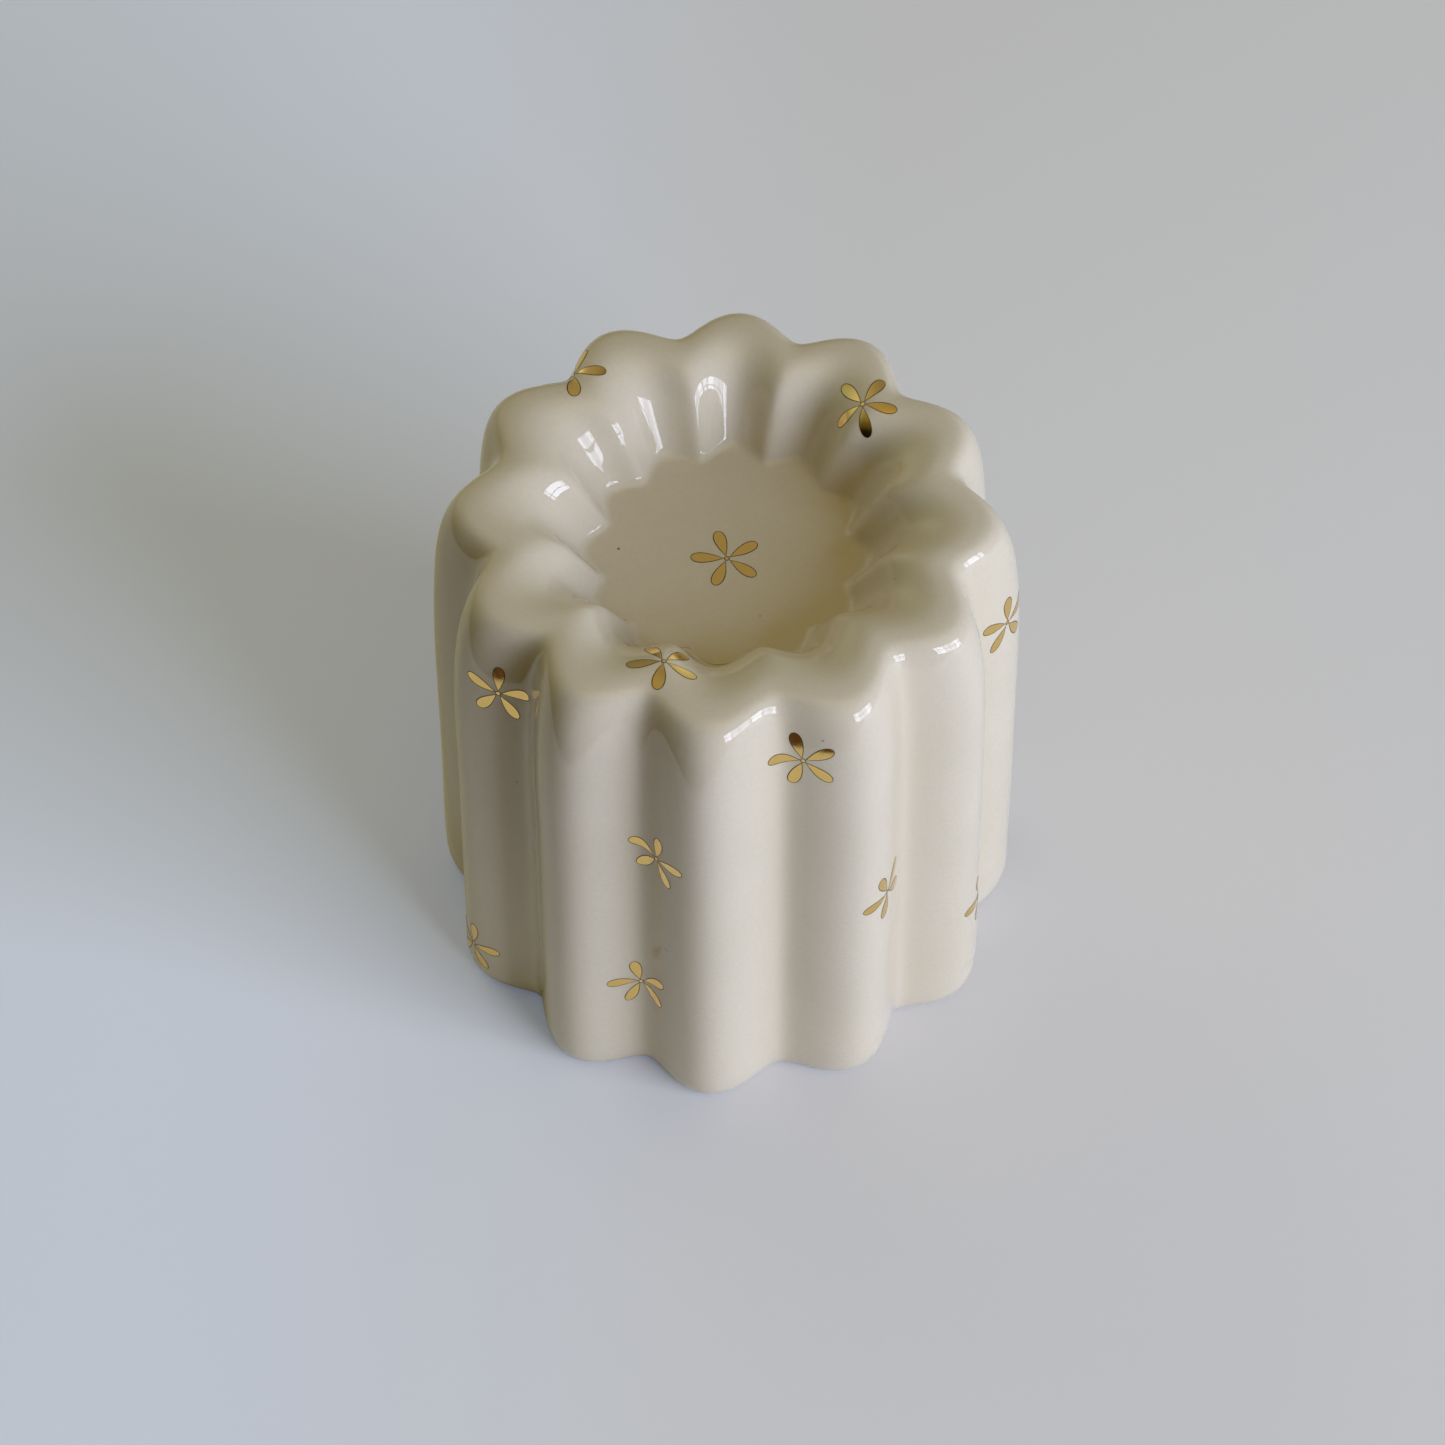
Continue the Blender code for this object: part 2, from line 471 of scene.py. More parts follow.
# %% Assemble the flat flower
PETALS = 5
petals = [petal]
for number in range(1, PETALS):
    let_go()
    petal.select_set(True)
    bpy.context.view_layer.objects.active = petal
    bpy.ops.object.duplicate()
    petals.append(bpy.context.object)
    bpy.context.object.rotation_euler.z = math.tau * number / PETALS
    bpy.ops.object.transform_apply(location=True, rotation=True, scale=True)
let_go()
for petal in petals:
    petal.select_set(True)
eye.select_set(True)
bpy.context.view_layer.objects.active = eye
bpy.ops.object.join()
flat_flower = bpy.context.object
flat_flower.name = "flat_flower"
bpy.ops.object.mode_set(mode="EDIT")
bpy.ops.mesh.select_all(action="SELECT")
bpy.ops.mesh.normals_make_consistent(inside=False)
if sum(face.normal.z for face in bmesh.from_edit_mesh(flat_flower.data).faces) < 0:
    bpy.ops.mesh.flip_normals()
bpy.ops.object.mode_set(mode="OBJECT")
print("flat flower:", len(flat_flower.data.vertices), "vertices")

# %% [markdown]
# ## Laying the transfers
#
# Shrinkwrap would drop a flat flower straight down and stretch it wherever the body curves away. A real
# transfer bends but hardly stretches. So each point of the flat flower is walked: it starts at the middle
# of the flower, heads off in its own direction, and takes small steps that each land back on the glaze,
# until it has gone as far as it lies from the middle. Distances along the surface then stay what they
# were on the sheet, and the petals curl over the lobes and down into the valleys as film does.
#
# Each flower has a longitude and a latitude seen from the middle of the body, and a turn. Those on the
# far side, which the photograph doesn't show, go on with the same loose scatter.

# %% Where the flowers are
FOCUS = Vector((0, 0, 0.045))
RAY_START = 0.2  # metres from the focus, well outside the body
NEARLY_LEVEL = 0.35  # where straight up leans along the glaze by less than this, +Y stands in for it
FLOWERS_SEEN = (
    (79.7, 88.5, 37),
    (48.6, 57.7, 58),
    (133.2, 52.1, 43.5),
    (-141.1, 39.9, 16),
    (-104.6, 58.1, 45.5),
    (-70.6, 42.8, 37),
    (-101.4, 19.4, 12),
    (-106.0, -27.5, 30),
    (-148.7, -37.3, 13.5),
    (-53.1, 1.2, 39.7),
    (-25.2, -25.0, 33.8),
    (-6.2, 34.2, 16),
)
FLOWERS_BEHIND = (
    (24, 15, 40),
    (50, -26, 10),
    (71, 25, 55),
    (97, -3, 25),
    (120, 28, 5),
    (137, -29, 60),
    (161, 5, 30),
)
skin = BVHTree.FromObject(body, bpy.context.evaluated_depsgraph_get())


def place_on_body(longitude, latitude):
    """The point of the glaze in a direction from the focus, with the directions right and up along it."""
    across = math.radians(longitude)
    up = math.radians(latitude)
    away = Vector((math.cos(up) * math.cos(across), math.cos(up) * math.sin(across), math.sin(up)))
    point, normal, _, _ = skin.ray_cast(FOCUS + away * RAY_START, -away)
    upward = Vector((0, 0, 1))
    if (upward - normal * upward.dot(normal)).length < NEARLY_LEVEL:
        upward = Vector((0, 1, 0))
    upward = (upward - normal * upward.dot(normal)).normalized()
    return point, upward.cross(normal), upward


print("flowers:", len(FLOWERS_SEEN) + len(FLOWERS_BEHIND))

# %% Walk over the glaze
STRIDE = 0.0004
FILM = 0.00006
ABOVE_GLAZE = 0.00003


def walk(point, direction, length):
    """Goes a length along the glaze from a point, and gives the end and the normal there."""
    steps = max(1, math.ceil(length / STRIDE))
    _, normal, _, _ = skin.find_nearest(point)
    for _ in range(steps):
        direction = (direction - normal * direction.dot(normal)).normalized()
        point, normal, _, _ = skin.find_nearest(point + direction * (length / steps))
    return point, normal


def lay_flower(name, longitude, latitude, turn):
    """A copy of the flat flower, laid on the body as a film of gold."""
    middle, right, up = place_on_body(longitude, latitude)
    flower = flat_flower.copy()
    flower.data = flat_flower.data.copy()
    flower.name = flower.data.name = name
    bpy.context.scene.collection.objects.link(flower)
    for vertex in flower.data.vertices:
        length = vertex.co.length
        angle = math.atan2(vertex.co.y, vertex.co.x) + math.radians(turn)
        point, normal = walk(middle, right * math.cos(angle) + up * math.sin(angle), length)
        vertex.co = point + normal * ABOVE_GLAZE
    apply_modifier(flower, "SOLIDIFY", "film", thickness=FILM, offset=-1)
    flower.data.shade_smooth()
    apply_modifier(flower, "DATA_TRANSFER", "sheen", object=body, use_loop_data=True,
                   data_types_loops={"CUSTOM_NORMAL"}, loop_mapping="POLYINTERP_NEAREST")
    return flower


flowers = []
for number, where in enumerate(FLOWERS_SEEN + FLOWERS_BEHIND, start=1):
    flower = lay_flower(f"gold_flower_{number:02d}", *where)
    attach(flower, "root")
    flowers.append(flower)
bpy.data.objects.remove(flat_flower)
print("laid", len(flowers), "flowers of", len(flowers[0].data.polygons), "faces each")

# %% [markdown]
# ## Ivory glaze
#
# A gloss glaze is coloured glass over clay: a smooth clear skin that mirrors the room, and an even warm
# colour under it. Principled BSDF gives both with a low roughness. What keeps it from looking like
# plastic is small: the colour is a little deeper in the valleys, partly where the glaze ran together and
# partly as painted shade, it clouds slowly from place to place, a few specks of iron have burnt through,
# and the skin has a fine grain and the faint orange-peel of a dipped piece. The pooled glaze and the
# painted shade are written on the mesh as one attribute, because the valleys are where the modelling
# knows them to be. Six specks and smudges that stand out in the photograph are placed one by one, each by
# its distance from a point of the glaze. The rest is noise and cells on Object coordinates.

# %% Where the glaze pools, and where shade is painted
# painted shade and pooled glaze together: most on the upright walls of the valleys
pool_and_shade = body.data.attributes.new("pool_and_shade", "FLOAT", "POINT")
for vertex, entry in zip(body.data.vertices, pool_and_shade.data):
    azimuth = math.atan2(vertex.co.y, vertex.co.x)
    in_valley = 1 - lobe_share(azimuth)
    upright = 1 - abs(vertex.normal.z)
    entry.value = in_valley * upright
print("pooling runs from 0 to", round(max(entry.value for entry in pool_and_shade.data), 2))


# %% Building materials
def new_material(name):
    """A node material, its nodes, links and Principled shader."""
    material = bpy.data.materials.new(name)
    material.use_nodes = True
    tree = material.node_tree
    return material, tree.nodes, tree.links, tree.nodes["Principled BSDF"]


def noise(nodes, links, place, scale, detail):
    """Noise on the coordinates, as a value from 0 to 1."""
    texture = nodes.new("ShaderNodeTexNoise")
    texture.inputs["Scale"].default_value = scale
    texture.inputs["Detail"].default_value = detail
    links.new(place, texture.inputs["Vector"])
    return texture.outputs["Fac"]


def in_range(nodes, links, value, old, new):
    """A value moved smoothly from one range to another, each given by its two ends."""
    ramp = nodes.new("ShaderNodeMapRange")
    ramp.interpolation_type = "SMOOTHSTEP"
    for name, end in zip(("From Min", "From Max", "To Min", "To Max"), (*old, *new)):
        ramp.inputs[name].default_value = end
    links.new(value, ramp.inputs["Value"])
    return ramp.outputs["Result"]


def blend(nodes, links, share_of_second, first, second):
    """Blends two colours; each is a socket or a fixed colour."""
    mix = nodes.new("ShaderNodeMix")
    mix.data_type = "RGBA"
    links.new(share_of_second, mix.inputs["Factor"])
    for socket, colour in ((mix.inputs["A"], first), (mix.inputs["B"], second)):
        if isinstance(colour, tuple):
            socket.default_value = (*colour, 1)
        else:
            links.new(colour, socket)
    return mix.outputs["Result"]


def roughen(nodes, links, shader, height, depth):
    """Bumps the shader's normal with a height, over a depth in metres."""
    bump = nodes.new("ShaderNodeBump")
    bump.inputs["Strength"].default_value = 1
    bump.inputs["Distance"].default_value = depth
    links.new(height, bump.inputs["Height"])
    links.new(bump.outputs["Normal"], shader.inputs["Normal"])


# %% Glaze: its own colour, with painted shade in the valleys
GLAZE = (0.565, 0.473, 0.335)
# the valleys' colour, for pooled glaze and painted shade
GLAZE_POOLED_AND_SHADED = (0.545, 0.448, 0.30)
GLAZE_CLOUD = (0.58, 0.486, 0.348)
CLOUD_SCALE = 55
CLOUD_RANGE = (0.35, 0.7)
POOL_AND_SHADE_RANGE = (0.35, 1)
POOL_AND_SHADE_MOST = 0.6

glaze, nodes, links, shader = new_material("ivory_glaze")
place = nodes.new("ShaderNodeTexCoord").outputs["Object"]
pooled_and_shaded = nodes.new("ShaderNodeAttribute")
pooled_and_shaded.attribute_name = "pool_and_shade"
clouds = in_range(nodes, links, noise(nodes, links, place, CLOUD_SCALE, detail=2), CLOUD_RANGE, (0, 1))
colour = blend(nodes, links, clouds, GLAZE, GLAZE_CLOUD)
# painted shade: the glaze turns darker in the valleys, partly for pooled glaze and partly for the shade
# there
deeper = in_range(nodes, links, pooled_and_shaded.outputs["Fac"], POOL_AND_SHADE_RANGE, (0, POOL_AND_SHADE_MOST))
colour = blend(nodes, links, deeper, colour, GLAZE_POOLED_AND_SHADED)
print("glaze coloured with", len(nodes), "nodes")

# %% Glaze: specks and marks
IRON = (0.16, 0.10, 0.05)
SPECK_SPACING = 0.02
SPECK_SIZE = 0.00028
SPECK_HEART = 0.4  # share of a speck's size within which it is darkest
SPECK_RANGE = (0.55, 1)  # each cell has a random value, and those below this range have no speck
SPECK_MOST = 0.75
# longitude, latitude, size and strength of the marks that the photograph shows
MARKS = (
    (173.6, 65.0, 0.00034, 0.9),
    (-60.1, 72.0, 0.0003, 0.35),
    (-20.4, 58.7, 0.00026, 0.4),
    (-137.9, 19.2, 0.00028, 0.5),
    (-66.9, 45.7, 0.0003, 0.6),
    (-99.3, -9.5, 0.0008, 0.2),
)

cells = nodes.new("ShaderNodeTexVoronoi")
cells.inputs["Scale"].default_value = 1 / SPECK_SPACING
links.new(place, cells.inputs["Vector"])
edge_of_speck = (SPECK_HEART * SPECK_SIZE / SPECK_SPACING, SPECK_SIZE / SPECK_SPACING)
near = in_range(nodes, links, cells.outputs["Distance"], edge_of_speck, (1, 0))
chosen = nodes.new("ShaderNodeSeparateColor")
links.new(cells.outputs["Color"], chosen.inputs["Color"])
speck = nodes.new("ShaderNodeMath")
speck.operation = "MULTIPLY"
links.new(near, speck.inputs[0])
links.new(in_range(nodes, links, chosen.outputs["Red"], SPECK_RANGE, (0, SPECK_MOST)), speck.inputs[1])
colour = blend(nodes, links, speck.outputs["Value"], colour, IRON)
for longitude, latitude, size, strength in MARKS:
    distance = nodes.new("ShaderNodeVectorMath")
    distance.operation = "DISTANCE"
    links.new(place, distance.inputs[0])
    distance.inputs[1].default_value = place_on_body(longitude, latitude)[0]
    mark = in_range(nodes, links, distance.outputs["Value"], (SPECK_HEART * size, size), (strength, 0))
    colour = blend(nodes, links, mark, colour, IRON)
print("marks placed:", len(MARKS))

# %% Glaze: grain and skin
GRAIN = (0.42, 0.34, 0.21)
GRAIN_SCALE = 1400
GRAIN_RANGE = (0.35, 0.65)
GRAIN_MOST = 0.09
PEEL_SCALE = 420
PEEL_DEPTH = 0.000006
GLAZE_ROUGHNESS = (0.02, 0.035)
GLAZE_IOR = 1.52

grain = noise(nodes, links, place, GRAIN_SCALE, detail=2)
grain = in_range(nodes, links, grain, GRAIN_RANGE, (0, GRAIN_MOST))
colour = blend(nodes, links, grain, colour, GRAIN)
links.new(colour, shader.inputs["Base Color"])
peel = noise(nodes, links, place, PEEL_SCALE, detail=1)
links.new(in_range(nodes, links, clouds, (0, 1), GLAZE_ROUGHNESS), shader.inputs["Roughness"])
roughen(nodes, links, shader, peel, PEEL_DEPTH)
shader.inputs["IOR"].default_value = GLAZE_IOR
body.data.materials.append(glaze)
print("ivory glaze mixed, with", len(nodes), "nodes in all")

# %% [markdown]
# ## Bare clay underneath
#
# The base stands in the kiln, so it is wiped clean of glaze before firing. It shows as fine matt bisque.
# The faces that lie flat on the table are picked by their height and their downward normal.

# %% Bare clay
CLAY = (0.66, 0.60, 0.50)
CLAY_DARK = (0.56, 0.50, 0.41)
CLAY_GRAIN_SCALE = 2500
CLAY_GRAIN_DEPTH = 0.00008
CLAY_ROUGHNESS = 0.9
WIPED_BELOW = 0.0002
FACING_DOWN = -0.9  # a normal's Z below this counts as facing down

clay, nodes, links, shader = new_material("bare_clay")
place = nodes.new("ShaderNodeTexCoord").outputs["Object"]
grain = noise(nodes, links, place, CLAY_GRAIN_SCALE, detail=3)
links.new(blend(nodes, links, grain, CLAY_DARK, CLAY), shader.inputs["Base Color"])
shader.inputs["Roughness"].default_value = CLAY_ROUGHNESS
roughen(nodes, links, shader, grain, CLAY_GRAIN_DEPTH)
body.data.materials.append(clay)
wiped = [face for face in body.data.polygons if face.normal.z < FACING_DOWN and face.center.z < WIPED_BELOW]
for face in wiped:
    face.material_index = 1
print("faces of bare clay:", len(wiped))

# %% [markdown]
# ## Fired gold
#
# Bright gold is a metal film. It has no colour of its own but what it mirrors, tinted: bright where it
# sees the pale table, dark brown where it turns towards a dark room. So its roughness is low, with a
# fine uneven grain, and its tint drifts a little. Round each petal the film thins out, and the fired edge
# reads as a thin dark line, so the outermost ring of faces gets a burnt brown.

# %% Gold
GOLD = (0.92, 0.62, 0.19)
GOLD_THIN = (0.85, 0.58, 0.20)
DRIFT_SCALE = 700
DRIFT_RANGE = (0.3, 0.7)
GOLD_ROUGHNESS = (0.07, 0.12)
GOLD_GRAIN_SCALE = 3500
GOLD_GRAIN_DEPTH = 0.0000025

gold, nodes, links, shader = new_material("fired_gold")
place = nodes.new("ShaderNodeTexCoord").outputs["Object"]
drift = noise(nodes, links, place, DRIFT_SCALE, detail=2)
links.new(blend(nodes, links, drift, GOLD_THIN, GOLD), shader.inputs["Base Color"])
links.new(in_range(nodes, links, drift, DRIFT_RANGE, GOLD_ROUGHNESS), shader.inputs["Roughness"])
roughen(nodes, links, shader, noise(nodes, links, place, GOLD_GRAIN_SCALE, detail=2), GOLD_GRAIN_DEPTH)
shader.inputs["Metallic"].default_value = 1
print("gold mixed, with", len(nodes), "nodes")

# %% Its burnt edge
BURNT = (0.045, 0.026, 0.01)
BURNT_THIN = (0.09, 0.055, 0.02)
SOOT_SCALE = 2200
BURNT_SHINE = 0.15
BURNT_ROUGHNESS = 0.5

burnt, nodes, links, shader = new_material("burnt_edge")
place = nodes.new("ShaderNodeTexCoord").outputs["Object"]
soot = noise(nodes, links, place, SOOT_SCALE, detail=2)
links.new(blend(nodes, links, soot, BURNT, BURNT_THIN), shader.inputs["Base Color"])
shader.inputs["Specular IOR Level"].default_value = BURNT_SHINE
shader.inputs["Roughness"].default_value = BURNT_ROUGHNESS


def gild(flower):
    """Gold, but for the outermost ring of each petal and the eye. Says how many faces are burnt."""
    flower.data.materials.append(gold)
    flower.data.materials.append(burnt)
    ring = flower.data.attributes["ring"].data
    for face in flower.data.polygons:
        face.material_index = int(any(ring[corner].value == 0 for corner in face.vertices))
    return sum(face.material_index for face in flower.data.polygons)


print("burnt edge faces:", [gild(flower) for flower in flowers])

# %% [markdown]
# ## The floor, and the floor that only reflections see
#
# The holder stands on plain pale paper. In front of it, outside the view, lies a dark board. It keeps
# light from the front flutes, so that they model more strongly, and it gives the gold something dark to
# mirror. Other views of the part should still see one plain pale floor. So there are two floors. One is
# seen by the camera alone, and the other, with the board on it, is seen by bounced light and reflections
# alone. The first has a painted tint for the colour of the light: grey on the left, where the holder's
# shadow falls, and cream on the right, where the cool window light falls. It also has a faint cool glow
# that keeps the holder's shadow from going brown. Both are staging, not part of the object. The whole set
# stands turned a little about the holder, whose lobes point along the axes.

# %% A plane for the camera, or for all else
FRAME_TURN = math.radians(3.146)
turned = Matrix.Rotation(FRAME_TURN, 4, "Z")


def staged_plane(name, width, depth, middle, towards, material, seen_by_camera):
    """A level plane of the set, seen by the camera alone or by everything else alone."""
    bpy.ops.mesh.primitive_plane_add(size=1)
    plane = bpy.context.object
    plane.name = name
    plane.data.transform(turned @ Matrix.Rotation(towards, 4, "Z") @ Matrix.Translation(middle)
                         @ Matrix.Diagonal((width, depth, 1, 1)))
    plane.data.materials.append(material)
    plane.visible_camera = seen_by_camera
    plane.visible_diffuse = not seen_by_camera
    plane.visible_glossy = not seen_by_camera
    plane.visible_transmission = not seen_by_camera
    plane.visible_shadow = not seen_by_camera


print("the set is turned by", round(math.degrees(FRAME_TURN), 1), "degrees")

# %% Paper
# painted light: the paper is cooler on the left, where the holder's shadow falls, and warmer on the right,
# where the cool window light falls
PAPER_LEFT_PAINTED_COOL = (0.70, 0.68, 0.66)
PAPER_RIGHT_PAINTED_WARM = (0.645, 0.573, 0.464)
PAPER_GLOW = (0.055, 0.085, 0.155)
PAINTED_TINT_RANGE = (-0.1, 0.03)  # the tint passes between these places on X
BOUNCE_PAPER = (0.79, 0.775, 0.75)
NO_GLOW = (0, 0, 0)
PAPER_CLOUD = (0.5, 0.5, 0.5)
PAPER_CLOUD_SCALE = 6
PAPER_CLOUD_RANGE = (0.3, 0.7)
PAPER_CLOUD_MOST = 0.04
PAPER_ROUGHNESS = 0.8
PAPER_SHINE = 0.2


def paper_material(name, left, right, glow):
    """Matt paper, with a tint on the left and another on the right, painted for the colour of the light, and
    a faint glow of its own.
    """
    material, nodes, links, shader = new_material(name)
    place = nodes.new("ShaderNodeTexCoord").outputs["Object"]
    sides = nodes.new("ShaderNodeSeparateXYZ")
    links.new(place, sides.inputs["Vector"])
    # painted light: the tint passes from the cool left to the warm right
    to_painted_warm = in_range(nodes, links, sides.outputs["X"], PAINTED_TINT_RANGE, (0, 1))
    colour = blend(nodes, links, to_painted_warm, left, right)
    clouds = noise(nodes, links, place, PAPER_CLOUD_SCALE, detail=2)
    clouds = in_range(nodes, links, clouds, PAPER_CLOUD_RANGE, (0, PAPER_CLOUD_MOST))
    links.new(blend(nodes, links, clouds, colour, PAPER_CLOUD), shader.inputs["Base Color"])
    shader.inputs["Roughness"].default_value = PAPER_ROUGHNESS
    shader.inputs["Specular IOR Level"].default_value = PAPER_SHINE
    shader.inputs["Emission Color"].default_value = (*glow, 1)
    shader.inputs["Emission Strength"].default_value = 1
    return material


paper = paper_material("pale_paper", PAPER_LEFT_PAINTED_COOL, PAPER_RIGHT_PAINTED_WARM, PAPER_GLOW)
bounce_paper = paper_material("bounce_paper", BOUNCE_PAPER, BOUNCE_PAPER, NO_GLOW)
print("paper for the camera and for bounced light:", paper.name, bounce_paper.name)

# %% Lay the floors and the board
FLOOR_SIZE = 12.0
BOARD = (0.10, 0.05, 0.025)
BOARD_ROUGHNESS = 0.7
BOARD_FRONT = 0.141
BOARD_AZIMUTH = math.radians(-124)
BOARD_DEPTH = 2.0
UNDER = 0.0003

board, nodes, links, shader = new_material("dark_board")
shader.inputs["Base Color"].default_value = (*BOARD, 1)
shader.inputs["Roughness"].default_value = BOARD_ROUGHNESS
staged_plane("floor", FLOOR_SIZE, FLOOR_SIZE, (0, 0, 0), 0, paper, True)
staged_plane("floor_for_bounce", FLOOR_SIZE, FLOOR_SIZE, (0, 0, -2 * UNDER), 0, bounce_paper, False)
staged_plane("board_for_bounce", BOARD_DEPTH, 2 * BOARD_DEPTH, (BOARD_FRONT + BOARD_DEPTH / 2, 0, -UNDER),
             BOARD_AZIMUTH, board, False)
print("the board starts", BOARD_FRONT, "m from the holder's middle")

# %% [markdown]
# ## Daylight from a window
#
# The highlights on the glaze are small pictures of one low, wide window with bars between its panes:
# bright panes at the ends, dimmer ones with a view in the middle. Each pane is an area light. Daylight
# through them is cooler than the light of the room, which is what turns the lit flutes nearly white while
# the shaded ones stay olive. Two softboxes that reflections don't see light the body more evenly: one over
# the window is the sky above, and one behind on the left is a pale wall that the window lights.

# %% One rectangle of light
LIGHT_DISTANCE = 1.5
AIM_HEIGHT = 0.6 * HEIGHT


def area_light(name, azimuth, elevation, sideways, upwards, width, height, radiance, colour):
    """A rectangle of light that faces the holder from a direction, moved in its own plane."""
    light = bpy.data.lights.new(name, "AREA")
    light.shape = "RECTANGLE"
    light.size = width
    light.size_y = height
    light.energy = math.pi * width * height * radiance
    light.color = colour
    lamp = bpy.data.objects.new(name, light)
    bpy.context.scene.collection.objects.link(lamp)
    level = math.cos(elevation)
    away = Vector((level * math.cos(azimuth), level * math.sin(azimuth), math.sin(elevation)))
    beside = Vector((math.sin(azimuth), -math.cos(azimuth), 0))
    aim = Vector((0, 0, AIM_HEIGHT))
    lamp.location = turned @ (aim + away * LIGHT_DISTANCE + beside * sideways + beside.cross(away) * upwards)
    lamp.rotation_euler = (turned.to_3x3() @ -away).to_track_quat("-Z", "Y").to_euler()
    return lamp


print("lights face a point", round(1000 * AIM_HEIGHT, 1), "mm above the base")

# %% Window and softboxes
WINDOW_AZIMUTH = math.radians(-37)
WINDOW_ELEVATION = math.radians(11.5)
WINDOW_RADIANCE = 7.5
PANE_HEIGHT = 0.26
ROWS = (-0.145, 0.145)
# middle, width and share of the light of each column of panes, from the right as the holder sees it
COLUMNS_OF_PANES = (
    (0.555, 0.09, 1.3),
    (0.39, 0.19, 1.3),
    (0.16, 0.225, 0.78),
    (-0.095, 0.225, 0.78),
    (-0.335, 0.205, 1.3),
    (-0.515, 0.105, 1.0),
)
DAYLIGHT = (0.80, 0.84, 1.02)
SKY_AZIMUTH = math.radians(-38)
SKY_ELEVATION = math.radians(24)
SKY_WIDTH = 1.1
SKY_HEIGHT = 0.9
SKY_RADIANCE = 5.75
SKYLIGHT = (0.74, 0.95, 1.46)
WALL_AZIMUTH = math.radians(128)
WALL_ELEVATION = math.radians(18)
WALL_SIZE = 1.0
WALL_RADIANCE = 0.85
WALL_LIGHT = (0.96, 1.0, 0.85)

panes = []
for column, (sideways, width, brightness) in enumerate(COLUMNS_OF_PANES):
    for row, upwards in enumerate(ROWS):
        pane = area_light(f"pane_{column}_{row}", WINDOW_AZIMUTH, WINDOW_ELEVATION, sideways, upwards,
                          width, PANE_HEIGHT, WINDOW_RADIANCE * brightness, DAYLIGHT)
        panes.append(pane)
sky = area_light("sky", SKY_AZIMUTH, SKY_ELEVATION, 0, 0, SKY_WIDTH, SKY_HEIGHT, SKY_RADIANCE, SKYLIGHT)
sky.visible_glossy = False
wall = area_light("pale_wall", WALL_AZIMUTH, WALL_ELEVATION, 0, 0, WALL_SIZE, WALL_SIZE,
                  WALL_RADIANCE, WALL_LIGHT)
wall.visible_glossy = False
highest = max(pane.location.z for pane in panes)
print("panes:", len(panes), "the highest at", round(1000 * highest), "mm")

# %% [markdown]
# ## The room
#
# The rest of the light is the room, as the glaze mirrors it: a pale wall behind on the left, another low
# behind on the right, a dimmer stretch above them, warm light overhead, a cool side on the left, and a
# ceiling that is nearly dark, over walls that are darker still. A world shader can say that with soft
# glows. Each is the closeness of a direction to the glow's own axis, raised to a power: high powers make
# it tight. The colours of the glows are added up.

# %% The glows and the world
CEILING = (0.06, 0.05, 0.02)
CEILING_RANGE = (math.sin(math.radians(24)), math.sin(math.radians(36)))
DARK_CORNER = 0.12  # share of the ceiling's light that is left below it
# azimuth and elevation in degrees, tightness and colour of each glow
GLOWS = (
    (128, 18, 16, (0.8, 0.83, 0.72)),
    (60, 6, 10, (0.74, 0.79, 0.74)),
    (105, 52, 8, (0.26, 0.25, 0.22)),
    (300, 75, 8, (0.78, 0.62, 0.08)),
    (170, 28, 8, (0.31, 0.39, 0.36)),
)

world = bpy.data.worlds.new("room")
bpy.context.scene.world = world
world.use_nodes = True
nodes = world.node_tree.nodes
links = world.node_tree.links
direction = nodes.new("ShaderNodeTexCoord").outputs["Generated"]
print("glows in the room:", len(GLOWS))


# %% Sums in nodes
def input_value(socket, value):
    """Links a socket to another, or sets it to a fixed value."""
    if isinstance(value, bpy.types.NodeSocket):
        links.new(value, socket)
    else:
        socket.default_value = value


def math_node(operation, first, second):
    """A Math node; each input is a socket or a number."""
    node = nodes.new("ShaderNodeMath")
    node.operation = operation
    input_value(node.inputs[0], first)
    input_value(node.inputs[1], second)
    return node.outputs["Value"]


def vector_node(operation, first, second):
    """A Vector Math node; each input is a socket or a vector."""
    node = nodes.new("ShaderNodeVectorMath")
    node.operation = operation
    input_value(node.inputs[0], first)
    input_value(node.inputs["Scale" if operation == "SCALE" else 1], second)
    return node.outputs["Value" if operation == "DOT_PRODUCT" else "Vector"]


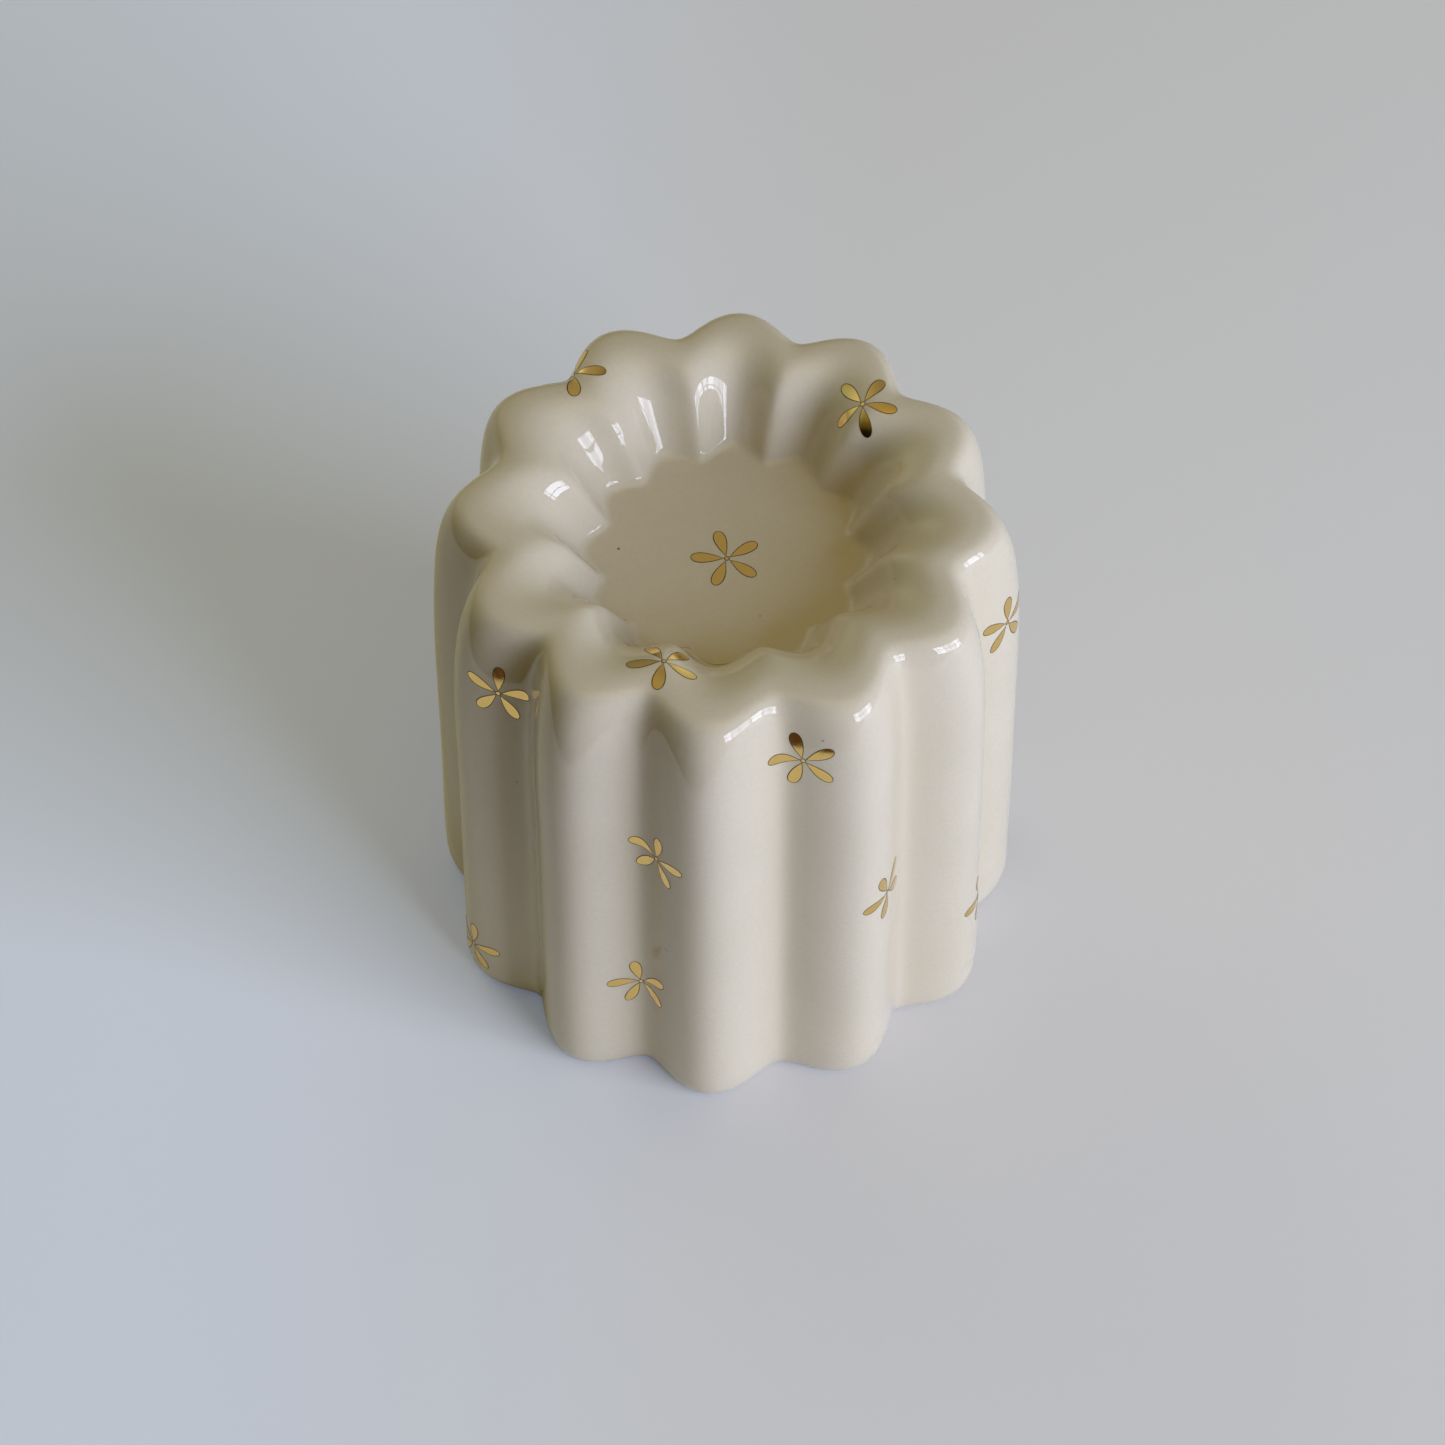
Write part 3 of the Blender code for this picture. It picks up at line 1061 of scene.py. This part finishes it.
# %% Add up the room
height = nodes.new("ShaderNodeSeparateXYZ")
links.new(direction, height.inputs["Vector"])
overhead = in_range(nodes, links, height.outputs["Z"], CEILING_RANGE, (DARK_CORNER, 1))
total = vector_node("SCALE", CEILING, overhead)
for azimuth, elevation, tightness, colour in GLOWS:
    level = math.cos(math.radians(elevation))
    across = math.radians(azimuth) + FRAME_TURN
    axis = (level * math.cos(across), level * math.sin(across), math.sin(math.radians(elevation)))
    closeness = math_node("MAXIMUM", vector_node("DOT_PRODUCT", direction, axis), 0)
    total = vector_node("ADD", vector_node("SCALE", colour, math_node("POWER", closeness, tightness)), total)
links.new(total, nodes["Background"].inputs["Color"])
nodes["Background"].inputs["Strength"].default_value = 1
print("nodes in the world:", len(nodes))

# %% [markdown]
# ## The camera
#
# The photograph looks down from the front, at a little more than half a right angle, through a long lens.
# The lens is known in pixels of the photograph, so it is turned into millimetres of the sensor. Standard
# leaves the colours as the lights and the materials make them.

# %% Camera
PHOTO_WIDTH = 1445
LENS_IN_PIXELS = 4000
SENSOR = 36
CAMERA_DISTANCE = 0.6348
CAMERA_ELEVATION = math.radians(53.039)
CAMERA_ROLL = math.radians(-0.19)
CAMERA_PIVOT_HEIGHT = 0.0453
CAMERA_AIM = Vector((-0.00054, 0, 0.03974))

camera = bpy.data.objects.new("camera", bpy.data.cameras.new("camera"))
bpy.context.scene.collection.objects.link(camera)
bpy.context.scene.camera = camera
camera.data.sensor_width = SENSOR
camera.data.lens = LENS_IN_PIXELS * SENSOR / PHOTO_WIDTH
back = CAMERA_DISTANCE * math.cos(CAMERA_ELEVATION)
rise = CAMERA_DISTANCE * math.sin(CAMERA_ELEVATION)
stand = Vector((0, -back, CAMERA_PIVOT_HEIGHT + rise))
look = (CAMERA_AIM - stand).to_track_quat("-Z", "Y").to_matrix().to_4x4()
camera.matrix_world = turned @ Matrix.Translation(stand) @ look @ Matrix.Rotation(CAMERA_ROLL, 4, "Z")
bpy.context.scene.view_settings.view_transform = "Standard"
print("a lens of", round(camera.data.lens, 1), "mm")
